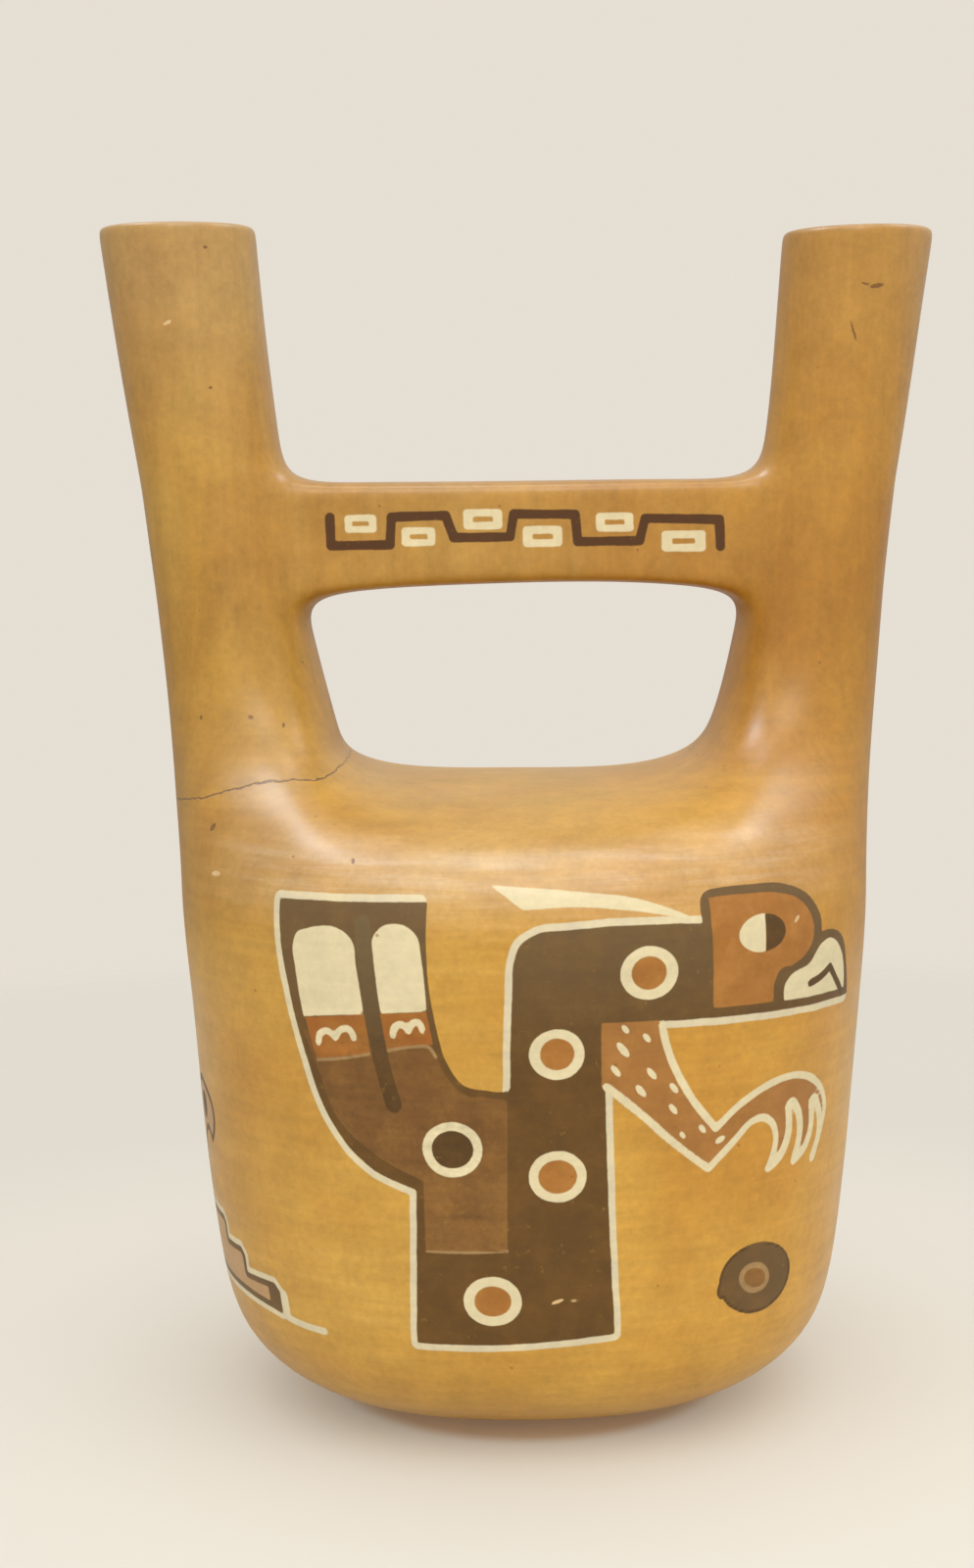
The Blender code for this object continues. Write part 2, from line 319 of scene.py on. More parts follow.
def coarseVessel():
    bm = bmesh.new()
    tag = {name: bm.verts.layers.int.new(name) for name in ("column", "row", "layer")}
    top = growBody(bm, tag)
    shapeSaddle(top, tag)
    ends = [(endOf(top, tag, side), side) for side in (-1, 1)]
    for cap, side in ends:
        growSpout(bm, cap, tag, side)
    outside = bm.faces[:]
    lineWithWall(bm)
    addBridge(bm, outside, tag)
    reach = [point.co.x for point in bm.verts]
    offCentre = (max(reach) + min(reach)) / 2
    bmesh.ops.translate(bm, verts=bm.verts[:], vec=(-offCentre, 0, 0))
    mesh = bpy.data.meshes.new("coarseVessel")
    bm.to_mesh(mesh)
    bm.free()
    return mesh


def smoothed(mesh, levels):              # the mesh after that much subdivision
    holder = placed("holder", mesh)
    rounding = holder.modifiers.new("rounding", "SUBSURF")
    rounding.levels = rounding.render_levels = levels
    depsgraph = bpy.context.evaluated_depsgraph_get()
    made = bpy.data.meshes.new_from_object(holder.evaluated_get(depsgraph))
    bpy.data.objects.remove(holder)
    return made


# The picture is laid out in millimetres: how far round the body, from the middle of the front
# towards the right, and how high.  Each line below goes smoothly through its points, and a new
# list begins at a corner.  A patch closes by itself.
bird = {
    "line": 1.45,                   # how much of the cream line shows outside the dark
    "tailTop": [(-20, 117.4), (-51.8, 117)],
    "tailRim": [(-21.6, 117.4), (-51.8, 117)],
    "tailSide": [(-50.1, 101), (-47.1, 87.1), (-42.2, 73.4), (-35.3, 65), (-24, 59.6)],
    "rump": [(-24.5, 48), (-25.8, 27.3)],
    "foot": [(-6.6, 27.3), (18, 29)],
    "breast": [(16.3, 51.3), (14.9, 80.5)],
    "throat": [(14.2, 93.3)],
    "chin": [(52.8, 93), (78.2, 92.2)],
    "beakEdge": [(75.9, 99.7), (73.3, 104.9), (69.5, 107.1), (64.6, 107.4)],
    "chinRim": [(26, 93.3), (52.8, 93), (76.5, 92.3)],
    "crown": [(64.2, 110.7), (60.9, 115.2), (55, 118), (45, 118.8), (36.8, 118.6)],
    "forehead": [(35.1, 117.8), (34.4, 112.2)],
    "nape": [(8.1, 112), (1.3, 111.2), (-1.6, 109.3), (-2.9, 105.9), (-3.4, 99), (-4.1, 80)],
    "tailFork": [(-8.7, 80.2), (-13.3, 81.3), (-16.4, 85.4), (-18.4, 93), (-20, 117.4)],
    "plume": [[(-47, 91), (-43.9, 82.7), (-40.4, 73.6), (-33.1, 67.1), (-22.4, 61.5)],
              [(-22.6, 47.1)], [(-5.2, 47.3)], [(-4.6, 78.3)],
              [(-8.7, 78.8), (-13.3, 79.5), (-16.6, 82.8), (-19.1, 88.7), (-19.8, 92)]],
    "bands": [[[(-46.3, 93.6), (-33, 95.2)], [(-32.2, 87.3)], [(-44.2, 85.3)]],
              [[(-30, 95.3), (-20.2, 96.1)], [(-19.2, 89.6)], [(-29, 88)]]],
    "windows": [[[(-46.6, 93.7), (-47.8, 103.4), (-48.1, 108), (-47.2, 110.6), (-44.6, 111.6),
                  (-37.2, 111.7), (-35, 109.8), (-34.2, 105), (-33.2, 95.1)]],
                [[(-29.5, 95.4), (-30.5, 106.8), (-30.6, 110.4), (-29, 112.5), (-24.2, 112.9),
                  (-22, 111.1), (-20.9, 106), (-20.2, 96.1)]]],
    "seamWidth": 0.3,
    "seams": [[(-44, 85.1), (-38, 85.9), (-32.4, 87.1)],
              [(-29, 87.8), (-22.5, 89), (-20.2, 89), (-18.7, 87)],
              [(-22.4, 47), (-13, 46.9), (-5.2, 47.2)]],
    "quill": [(-32.7, 113), (-31.3, 95.3), (-29.5, 83.7), (-27.8, 77)],
    "quillWidth": 1.65,
    "marks": [[[(-43.5, 88.6), (-42.9, 90.6), (-41.4, 91.2), (-39.6, 89.9)],
               [(-38.3, 91.6), (-36.6, 91.9), (-35.5, 90.2)]],
              [[(-27.2, 91.1), (-26.7, 92.9), (-25.4, 93.4), (-24, 92.1)],
               [(-22.9, 93.8), (-22, 93.9), (-21.2, 92.3)]]],
    "markWidth": 0.7,
    "crest": [[(-7.5, 120.5), (8.4, 119.2), (23.5, 117), (34, 112.6)],
              [(24.5, 114.6), (10.8, 116.2), (-1.1, 115.9)]],
    "face": [[(36.9, 95.2), (36.1, 117)],
             [(45, 117.1), (53, 116.5), (57.6, 114.9), (61, 111.5), (62, 107.6), (60.3, 104.2),
              (55.7, 101.8), (52.5, 101.3), (51.3, 99.6), (51.1, 95)]],
    "beak": [[(53.8, 94.8), (53.9, 98.2), (55.2, 99.6), (60.8, 101.5), (64.6, 104.9), (67.5, 105.7),
              (70.5, 104.6), (73.4, 101.4), (75.8, 94)]],
    "nostrilWidth": 0.8,
    "nostril": [[(61.4, 97.3), (64.8, 98), (68.3, 99.6)], [(70.8, 97), (74.9, 93)]],
    "eye": (48, 109.1, 5.7, 3.75),   # middle and half sizes
    "eyeSplit": 48.6,
    "armRoot": [(14.2, 80.6), (14, 93.5), (25.4, 93.6)],
    "armTop": [[(26.2, 92.8), (27.3, 88.2), (32.5, 77.9), (38.6, 70.6)],
               [(44.8, 75.3), (50, 77.6), (55.9, 78.7), (61.1, 78.3), (65.9, 76.3), (69.5, 73.3),
                (71.1, 69.8), (70.3, 66), (67, 59.9)]],
    "armBelow": [[(15.1, 80.7), (22.3, 74.8), (29.2, 68.6), (37.3, 62.4)],
                 [(43.7, 68), (46.7, 70.6), (49.9, 71.3), (52.7, 69.8), (54.2, 66.4), (53.6, 63),
                  (52.6, 60.5)]],
    "claws": [[(52.6, 60.5), (55.9, 62.6), (57.7, 65.8), (57.3, 72.4)],
              [(58.3, 73), (60.1, 71.6), (61.7, 67.7), (60.2, 60.6)],
              [(63.9, 62.8), (65.6, 66), (65.2, 72)],
              [(66.1, 72.4), (68.2, 70.1), (69.4, 66), (67.1, 59.9)]],
    "armLine": 0.78,
    "clawLine": 1.02,
    "elbowSpot": (39.7, 68.1, 1.2, 0.6, 25),         # middle, half sizes, tilt
    "spotTilt": -50,
    "spotWidth": (0.3, 0.2),        # half width, and how much it gains with the half length
    # spots: middle, half length
    "spots": [(18.8, 92.1, 1.1), (23.1, 90.2, 1.2), (18.4, 88, 1.9), (17, 83.8, 1.5), (24.3, 82.9, 1.5),
              (22.2, 79.5, 1.6), (29, 79.7, 1.3), (29, 75.4, 1.4), (35.5, 70.8, 1.1), (31.2, 69.9, 0.9)],
    "underlap": 0.3,                # how far a ring's middle goes on below its cream
    # rings: middle, outer half sizes, inner half sizes
    "rings": [(23.4, 103.1, 5.8, 5.3, 3.5, 3.3), (5.3, 87.5, 5.5, 5.1, 3.4, 3.2),
              (5.4, 62.5, 6, 5.3, 4, 3.5), (-8.6, 36.7, 6.3, 5.2, 4, 3.2)],
    "darkRing": (-16.1, 68.1, 6.2, 5.7, 4, 3.6),
}
disc = {
    "places": [(51.9, 37.2), (144, 60), (-167, 60)],
    "size": (10.3, 7.6), "tilt": -10, "rim": 0.7,
    "lifted": (-9.2, -1.2, 1.4, 1.9),        # where the brush was lifted: place in the disc, half sizes
    "ring": (3.8, 2.6), "ringWidth": 0.65, "ringTilt": -20, "ringPlace": (-0.8, 0.2),
}
stairs = {
    "middles": (-104, 230.5),       # round to the left flank, and to the back
    "steps": [(43.5, 35.5), (31.2, 40.6), (22, 45.4)],     # half width, height
    "corner": 1.6,
    "floor": [(55.5, 27.4), (48, 28), (42, 29.2), (34, 30.2), (22, 31), (0, 31.4)],
    "line": 1.3, "floorLine": 0.8, "dark": 1.4, "end": 4.0,
    "riser": 1.2, "riserGap": 0.6,
    "head": [[(-2, 44), (-1, 62), (3.5, 70.5), (10, 73.8), (16, 72.6), (20.6, 69.8), (21.8, 66.2),
              (20.6, 62.8), (18, 60.2)], [(14.5, 62.4), (11.5, 60.6), (9.6, 56), (9.8, 44)]],
    "pupil": (12.3, 67.6, 2.6, 3),
}
marks = {                           # x and height on the front, half sizes, tilt
    "rub": [(-72.5, 231.5, 0.9, 0.3, 25), (-63.0, 119.7, 1.0, 0.5, 15),
            (4.9, 36.5, 1.4, 0.35, 20), (8.2, 36.6, 1.0, 0.25, 0), (53.3, 110.9, 0.35, 0.8, -35)],
    "nick": [(74.6, 237.0, 1.5, 0.4, 10), (72.2, 237.4, 1.0, 0.2, -15), (69.8, 227.7, 2.3, 0.15, -74),
             (-64.3, 246.8, 0.45, 0.35, 0), (-64.0, 218.0, 0.35, 0.3, 0),
             (-56.6, 149.9, 0.55, 0.35, -10), (-67.5, 149.7, 0.3, 0.45, 0),
             (-63.9, 128.5, 0.4, 0.9, -35), (-34.0, 124.4, 0.35, 0.55, 0), (-49.7, 148.2, 0.3, 0.5, 0)],
}
fret = {
    "line": 1.0,
    "path": [(-40.1, 190.8), (-40, 184.8), (-27.4, 184.9), (-27.1, 190.7), (-15.6, 190.9),
             (-13.9, 186.2), (-2, 186.2), (-1.2, 191), (11.8, 190.8), (12.3, 185),
             (25.4, 185), (26.6, 189.7), (42.4, 189.3), (42.6, 183.6)],
    # boxes: middle, half sizes
    "boxes": [(-33.6, 189.4, 3.4, 1.9), (-21.4, 186.5, 3.6, 2), (-7.7, 190, 4.1, 2.15),
              (4.9, 186.2, 4.2, 2.2), (20.2, 189, 4, 2), (34.8, 184.8, 4.7, 2.2)],
    "slot": (0.52, 0.27),           # of the box's size
    "corners": (0.8, 0.2),          # of the box and its slot
    "within": (48, 175, 199),       # how far across it may lie, and between which heights
    "facing": -0.4,                 # only where the bridge faces forward at least that much
}
crack = {
    "path": [(-90, 131.6), (-73.9, 131.8), (-61.2, 135.6), (-55, 137.3), (-46.9, 138),
             (-41.1, 137.8), (-37.6, 139.3)],
    "end": -36, "endFade": 3,       # across, where it runs out
    "back": 12, "backFade": 6,      # and how far back it goes
}
farOff = 9.0                        # millimetres; further than this counts as this far
frontFacing = -0.2                  # marks show only where the clay faces forward more than that
outlineSteps = 1440                 # of the way round the body


def smoothLine(points, steps=7):         # points along a smooth line through the given ones
    points = np.array(points, float)
    if len(points) == 2:
        return points
    gaps = np.linalg.norm(np.diff(points, axis=0), axis=1)
    slopes = np.diff(points, axis=0) / gaps[:, None]
    ahead, behind = gaps[1:, None], gaps[:-1, None]
    inner = (slopes[1:] * behind + slopes[:-1] * ahead) / (ahead + behind)
    first = 1.5 * slopes[0] - 0.5 * inner[0]
    last = 1.5 * slopes[-1] - 0.5 * inner[-1]
    tangents = np.vstack([first, inner, last])
    share = np.linspace(0, 1, steps, endpoint=False)[:, None]
    made = []
    for number, gap in enumerate(gaps):
        start, end = points[number], points[number + 1]
        lean, leanEnd = tangents[number] * gap, tangents[number + 1] * gap
        towardsEnd = 3 * share ** 2 - 2 * share ** 3
        leaving, arriving = share ** 3 - 2 * share ** 2 + share, share ** 3 - share ** 2
        made.append(start * (1 - towardsEnd) + end * towardsEnd + lean * leaving + leanEnd * arriving)
    return np.vstack(made + [points[-1:]])


def drawn(*stretches):                   # smooth stretches, each going on from the end of the last
    line = np.array(stretches[0][:1], float)
    for number, stretch in enumerate(stretches):
        points = stretch if number == 0 else [tuple(line[-1])] + stretch
        line = np.vstack([line[:-1], smoothLine(points)])
    return line


def nearTo(spots, low, high):            # which spots lie near a shape's box
    return ((spots > low - farOff) & (spots < high + farOff)).all(axis=1)


def toLine(spots, line):                 # how far the spots are from a line
    away = np.full(len(spots), farOff)
    near = nearTo(spots, line.min(axis=0), line.max(axis=0))
    found = away[near]
    some = spots[near]
    for start, end in zip(line[:-1], line[1:]):
        run = end - start
        share = np.clip((some - start) @ run / max(run @ run, 1e-9), 0, 1)
        found = np.minimum(found, np.linalg.norm(some - start - share[:, None] * run, axis=1))
    away[near] = found
    return away


def stroke(spots, line, halfWidth):      # negative inside the stroke
    return toLine(spots, line) - halfWidth


def patch(spots, outline):               # negative inside the outline
    outline = np.array(outline)
    away = toLine(spots, np.vstack([outline, outline[:1]]))
    near = nearTo(spots, outline.min(axis=0), outline.max(axis=0))
    some = spots[near]
    inside = np.zeros(len(some), bool)
    for (x, z), (nextX, nextZ) in zip(outline, np.roll(outline, -1, axis=0)):
        if z != nextZ:
            crosses = (z > some[:, 1]) != (nextZ > some[:, 1])
            inside ^= crosses & (some[:, 0] < x + (some[:, 1] - z) * (nextX - x) / (nextZ - z))
    away[near] = np.where(inside, -away[near], away[near])
    return away


def oval(spots, x, z, halfWidth, halfHeight, tilt=0):
    turn = math.radians(tilt)
    along = (spots[:, 0] - x) * math.cos(turn) + (spots[:, 1] - z) * math.sin(turn)
    across = (spots[:, 1] - z) * math.cos(turn) - (spots[:, 0] - x) * math.sin(turn)
    reach = np.hypot(along, across) + 1e-9
    edge = reach / (np.hypot(along / halfWidth, across / halfHeight) + 1e-9)
    return np.clip(reach - edge, -farOff, farOff)


def box(spots, x, z, halfWidth, halfHeight, corner):
    beyond = np.abs(spots - (x, z)) - (halfWidth - corner, halfHeight - corner)
    outside = np.linalg.norm(np.maximum(beyond, 0), axis=1)
    return np.clip(outside + np.minimum(beyond.max(axis=1), 0) - corner, -farOff, farOff)


def anyOf(*shapes):
    return np.minimum.reduce(shapes)


def without(shape, hole):
    return np.maximum(shape, -hole)


def birdLayers(spots):
    names = ("tailTop", "tailSide", "rump", "foot", "breast", "throat", "chin", "beakEdge", "crown",
             "forehead", "nape", "tailFork")
    stretches = {name: bird[name] for name in names}
    figure = patch(spots, drawn(*stretches.values()))
    edges = [drawn(bird["tailRim"], *[stretches[name] for name in names[1:5]]),
             drawn(bird["forehead"][-1:] + bird["nape"]),
             drawn(bird["chinRim"])]
    armTop, armBelow = drawn(*bird["armTop"]), drawn(*bird["armBelow"])
    claws = drawn(*bird["claws"])
    arm = np.vstack([bird["armRoot"], armTop, claws[::-1], armBelow[::-1]])
    lap = bird["underlap"]
    layers = {
        "outline": anyOf(*[stroke(spots, line, bird["line"]) for line in edges]),
        "dark": figure,
        "brown": patch(spots, drawn(*bird["plume"])),
        "rust": anyOf(*[patch(spots, drawn(*band)) for band in bird["bands"]]),
        "terracotta": anyOf(patch(spots, drawn(*bird["face"])),
                            *[oval(spots, x, z, wide + lap, high + lap)
                              for x, z, _, _, wide, high in bird["rings"]]),
        "arm": patch(spots, arm),
        "seam": anyOf(*[stroke(spots, drawn(seam), bird["seamWidth"]) for seam in bird["seams"]]),
    }
    cream = [patch(spots, drawn(*window)) for window in bird["windows"]]
    cream += [stroke(spots, drawn(*mark), bird["markWidth"]) for mark in bird["marks"]]
    cream += [patch(spots, drawn(*bird["crest"])), patch(spots, drawn(*bird["beak"]))]
    for x, z, wide, high, innerWide, innerHigh in bird["rings"] + [bird["darkRing"]]:
        cream.append(without(oval(spots, x, z, wide, high), oval(spots, x, z, innerWide, innerHigh)))
    for line in (armTop, armBelow):
        cream.append(stroke(spots, line, bird["armLine"]))
    cream.append(stroke(spots, claws, bird["clawLine"]))
    dots = [oval(spots, *bird["elbowSpot"])]
    least, gain = bird["spotWidth"]
    for x, z, length in bird["spots"]:
        dots.append(oval(spots, x, z, length, least + gain * length, bird["spotTilt"]))
    layers["dots"] = anyOf(*dots)
    eye = oval(spots, *bird["eye"])
    left = spots[:, 0] - bird["eyeSplit"]
    cream.append(np.maximum(eye, left))
    layers["cream"] = anyOf(*cream)
    x, z, _, _, wide, high = bird["darkRing"]
    layers["ink"] = anyOf(stroke(spots, drawn(bird["quill"]), bird["quillWidth"]),
                          stroke(spots, drawn(*bird["nostril"]), bird["nostrilWidth"]),
                          np.maximum(eye, -left), oval(spots, x, z, wide + lap, high + lap))
    return layers


def discLayers(spots):
    dark, rim, ring, middle = [], [], [], []
    besideX, besideZ, *liftedSize = disc["lifted"]
    ringX, ringZ = disc["ringPlace"]
    for x, z in disc["places"]:
        whole = anyOf(oval(spots, x, z, *disc["size"], disc["tilt"]),
                      oval(spots, x + besideX, z + besideZ, *liftedSize))
        inner = oval(spots, x + ringX, z + ringZ, *disc["ring"], disc["ringTilt"])
        dark.append(whole)
        rim.append(without(whole, whole + disc["rim"]))
        ring.append(np.abs(inner) - disc["ringWidth"])
        middle.append(inner)
    return {"dark": anyOf(*dark), "brown": anyOf(*middle), "seam": anyOf(*ring), "ink": anyOf(*rim)}


def stairsLayers(spots, middle):         # the stepped mound with a head on its neck
    around = (spots[:, 0] - middle + girth / 2) % girth - girth / 2
    spots = np.column_stack([around, spots[:, 1]])
    climb = []
    low, corner = stairs["floor"][2][1], stairs["corner"]
    for halfWidth, high in stairs["steps"]:
        climb += [(halfWidth, low), (halfWidth, high - corner), (halfWidth - corner, high)]
        low = high
    other = [(-x, z) for x, z in climb[::-1]]
    ground = drawn(stairs["floor"])
    ground = np.vstack([ground, (ground * (-1, 1))[-2::-1]])
    halfWidth, high = stairs["steps"][0]
    within = np.abs(ground[:, 0]) < halfWidth
    mound = patch(spots, np.vstack([climb, other, ground[within][::-1]]))
    whole = anyOf(mound, patch(spots, drawn(*stairs["head"])))
    riserTop = high - corner - stairs["riserGap"]
    ends = [stroke(spots, np.array([(x, climb[0][1]), (x, riserTop)]), stairs["riser"])
            for x in (halfWidth + stairs["riser"], -halfWidth - stairs["riser"])]
    return {
        "outline": anyOf(mound - stairs["line"], stroke(spots, ground, stairs["floorLine"]), *ends),
        "dark": whole,
        "tan": np.maximum(whole + stairs["dark"], np.abs(around) - halfWidth + stairs["end"]),
        "ink": oval(spots, *stairs["pupil"]),
    }


def fretLayers(spots):
    line = np.array(fret["path"])
    boxes = []
    long, low = fret["slot"]
    corner, slotCorner = fret["corners"]
    for x, z, halfWidth, halfHeight in fret["boxes"]:
        slot = box(spots, x, z, halfWidth * long, halfHeight * low, slotCorner)
        boxes.append(without(box(spots, x, z, halfWidth, halfHeight, corner), slot))
    return {"dark": stroke(spots, line, fret["line"]), "cream": anyOf(*boxes)}


def bodyOutline():                       # angles from the front, and millimetres round to each
    halfWidth, halfDepth = vessel["bodyWidth"] / 2, vessel["bodyDepth"] / 2
    angles = np.linspace(-math.pi, math.pi, outlineSteps + 1)
    power = vessel["squareness"]
    reach = ((np.abs(np.sin(angles)) / halfWidth) ** power
             + (np.abs(np.cos(angles)) / halfDepth) ** power) ** (-1 / power)
    steps = np.hypot(np.diff(reach * np.sin(angles)), np.diff(reach * np.cos(angles)))
    along = np.concatenate([[0], np.cumsum(steps)])
    return angles, along - along[-1] / 2


turns, along = bodyOutline()
girth = along[-1] * 2
layerNames = ("outline", "dark", "brown", "tan", "rust", "terracotta", "arm", "seam", "cream", "dots",
              "ink", "rub", "nick")


def paintLayers(place, out, inside):     # how far each point is from the edge of each colour
    layers = {name: np.full(len(place), farOff) for name in layerNames}
    onBody = ~inside & (place[:, 2] < vessel["shoulder"])
    across, low, high = fret["within"]
    onBridge = ~inside & (np.abs(place[:, 0]) < across) & (place[:, 2] > low) & (place[:, 2] < high)
    onBridge &= out[:, 1] < fret["facing"]
    body = place[onBody]
    spots = np.column_stack([np.interp(np.arctan2(body[:, 0], -body[:, 1]), turns, along), body[:, 2]])
    for made in (birdLayers(spots), discLayers(spots),
                 *[stairsLayers(spots, middle) for middle in stairs["middles"]]):
        for name, away in made.items():
            layers[name][onBody] = np.minimum(layers[name][onBody], away)
    for name, away in fretLayers(place[onBridge][:, [0, 2]]).items():
        layers[name][onBridge] = away
    front = ~inside & (out[:, 1] < frontFacing)
    for name, ovals in marks.items():
        layers[name][front] = anyOf(*[oval(place[front][:, [0, 2]], *numbers) for numbers in ovals])
    return layers


def crackLayers(place, inside):          # height above the crack, and how much of it is there
    path = np.array(crack["path"])
    above = place[:, 2] - np.interp(place[:, 0], path[:, 0], path[:, 1])
    reach = np.clip((crack["end"] - place[:, 0]) / crack["endFade"], 0, 1)
    reach *= np.clip((crack["back"] - place[:, 1]) / crack["backFade"], 0, 1)
    reach *= (np.abs(above) < farOff) & ~inside
    return above, reach


def readMesh(mesh):
    place = np.zeros(len(mesh.vertices) * 3)
    mesh.vertices.foreach_get("co", place)
    out = np.zeros(len(mesh.vertices) * 3)
    mesh.vertex_normals.foreach_get("vector", out)
    return place.reshape(-1, 3), out.reshape(-1, 3)


def insideOf(mesh):                      # the points that only the inner skin uses
    inner = np.ones(len(mesh.vertices), bool)
    for face in mesh.polygons:
        if face.material_index == 0:
            inner[list(face.vertices)] = False
    return inner


def halve(mesh, skin, chosen):           # cut every edge whose ends are both chosen, onto the skin
    bm = bmesh.new()
    bm.from_mesh(mesh)
    bm.verts.ensure_lookup_table()
    before = len(bm.verts)
    edges = [edge for edge in bm.edges if chosen[edge.verts[0].index] and chosen[edge.verts[1].index]]
    bmesh.ops.subdivide_edges(bm, edges=edges, cuts=1, use_grid_fill=True, use_single_edge=True,
                              quad_corner_type="INNER_VERT")
    bm.verts.ensure_lookup_table()
    for point in bm.verts[before:]:
        point.co = skin.find_nearest(point.co)[0]
    bm.to_mesh(mesh)
    bm.free()


kneading = {
    "depth": 0.22,                  # how far the potter's hand strays from the plan
    # swells: strength, then twice how they run over x, y and z in metres, and where they begin
    "swells": [(1, (41, 0, 23), 1, (0, 37, -19), 2),
               (0.7, (29, 0, 71), 4, (31, 53, 0), math.pi / 2),
               (0.5, (0, -61, 113), 0, (97, 0, 0), 0.7 + math.pi / 2)],
    "calmFoot": (4, 22),            # flat up to that height, and uneven this much further up
}


def kneaded(place):                      # the slow swells that a hand leaves, in millimetres
    metres = place * mm
    wave = sum(strength * np.sin(metres @ run + start) * np.sin(metres @ otherRun + otherStart)
               for strength, run, start, otherRun, otherStart in kneading["swells"])
    flat, further = kneading["calmFoot"]
    return kneading["depth"] * wave * np.clip((place[:, 2] - flat) / further, 0, 1)


refining = {
    # cells in millimetres, and the colours whose edges they are cut for
    "passes": [(2.4, layerNames), (1.2, layerNames), (0.6, ("dots", "seam", "rub", "nick"))],
    "reach": 1.7,                   # in cells, to either side of an edge
}


print("shaping the vessel")
coarse = coarseVessel()
mesh = smoothed(coarse, vessel["smoothness"])
fine = smoothed(coarse, vessel["skinSmoothness"])
skin = BVHTree.FromPolygons([v.co for v in fine.vertices], [p.vertices for p in fine.polygons])
halve(mesh, skin, ~insideOf(mesh))
for cell, names in refining["passes"]:
    place, out = readMesh(mesh)
    inside = insideOf(mesh)
    layers = paintLayers(place, out, inside)
    edge = np.min([np.abs(layers[name]) for name in names], axis=0)
    above, reach = crackLayers(place, inside)
    edge = np.where(reach > 0, np.minimum(edge, np.abs(above)), edge)
    halve(mesh, skin, edge < refining["reach"] * cell)
print("laying out the picture")
place, out = readMesh(mesh)
inside = insideOf(mesh)
layers = paintLayers(place, out, inside)
above, reach = crackLayers(place, inside)
place += out * kneaded(place)[:, None]
plain = readMesh(smoothed(coarse, 1))[0]      # the vessel as plain as the frame has it
room = np.array([plain.min(axis=0), plain.max(axis=0)])
size = np.array([place.min(axis=0), place.max(axis=0)])
fit = min(1, *(room[1] / size[1]), *(room[0][:2] / size[0][:2]))
place *= fit * mm
mesh.vertices.foreach_set("co", place.ravel())
mesh.update()
for name, values in (*layers.items(), ("crack", above), ("crackReach", reach), ("inside", inside)):
    mesh.attributes.new(name, "FLOAT", "POINT").data.foreach_set("value", np.array(values, float))
mesh.polygons.foreach_set("material_index", np.zeros(len(mesh.polygons), int))
mesh.shade_smooth()
print("vessel:", sum(len(face.vertices) - 2 for face in mesh.polygons), "triangles, fit", round(fit, 5))


class Wire:                              # an output socket that can be reckoned with like a number
    def __init__(self, finish, socket):
        self.finish, self.socket = finish, socket

    def reckon(self, operation, first, second=0.0):
        return self.finish.node("ShaderNodeMath", {"operation": operation}, {0: first, 1: second})

    def __add__(self, other):
        return self.reckon("ADD", self, other)

    def __sub__(self, other):
        return self.reckon("SUBTRACT", self, other)

    def __rsub__(self, other):
        return self.reckon("SUBTRACT", other, self)

    def __mul__(self, other):
        return self.reckon("MULTIPLY", self, other)

    def __abs__(self):
        return self.reckon("ABSOLUTE", self)

    __radd__ = __add__
    __rmul__ = __mul__


class Finish:                            # a material's or the world's nodes, and short ways to add them
    def __init__(self, owner, settings):
        owner.use_nodes = True
        self.owner, self.settings = owner, settings
        self.tree = owner.node_tree
        self.shader = self.tree.nodes.get("Principled BSDF")

    def node(self, kind, settings=None, sockets=None, out=0):
        made = self.tree.nodes.new(kind)
        for name, value in (settings or {}).items():
            if name == "stops":
                self.setStops(made.color_ramp, value)
            else:
                setattr(made, name, value)
        for key, value in (sockets or {}).items():
            self.feed(made.inputs[key], value)
        return Wire(self, made.outputs[out])

    def setStops(self, ramp, stops):
        while len(ramp.elements) < len(stops):
            ramp.elements.new(0.5)
        for element, (place, colour) in zip(ramp.elements, stops):
            element.position, element.color = place, colour

    def feed(self, socket, value):
        if isinstance(value, Wire):
            self.tree.links.new(value.socket, socket)
        else:
            socket.default_value = self.named(value)

    def set(self, **sockets):
        for name, value in sockets.items():
            self.feed(self.shader.inputs[name.replace("_", " ")], value)

    def layer(self, name):               # a number kept on the points
        return self.node("ShaderNodeAttribute", {"attribute_name": name}, out=2)

    def mix(self, share, first, second, blend="MIX"):
        settings = {"data_type": "RGBA", "blend_type": blend}
        return self.node("ShaderNodeMix", settings, {0: share, 6: first, 7: second}, out=2)

    def named(self, value):              # a name stands for its setting
        return self.settings[value] if isinstance(value, str) else value

    def rise(self, value, over, given=(0.0, 1.0)):        # eased, from the first given to the second
        (start, end), (low, high) = self.named(over), self.named(given)
        return self.node("ShaderNodeMapRange", {"interpolation_type": "SMOOTHSTEP"},
                         {0: value, 1: start, 2: end, 3: low, 4: high})

    def fall(self, value, over):
        return self.rise(value, over, (1.0, 0.0))

    def noise(self, name, stretch=(1, 1, 1)):
        scale, detail, roughness = self.settings[name]
        place = self.node("ShaderNodeTexCoord", out=3)
        place = self.node("ShaderNodeMapping", None, {0: place, 3: stretch})
        return self.node("ShaderNodeTexNoise", None,
                         {"Vector": place, "Scale": scale, "Detail": detail, "Roughness": roughness})

    def weigh(self, **wires):            # the sum of the wires, each by the setting of that name
        return sum(wire * self.settings[name] for name, wire in wires.items())

    def swing(self, name):               # a noise that goes as far below nothing as above it
        return self.noise(name) - 0.5


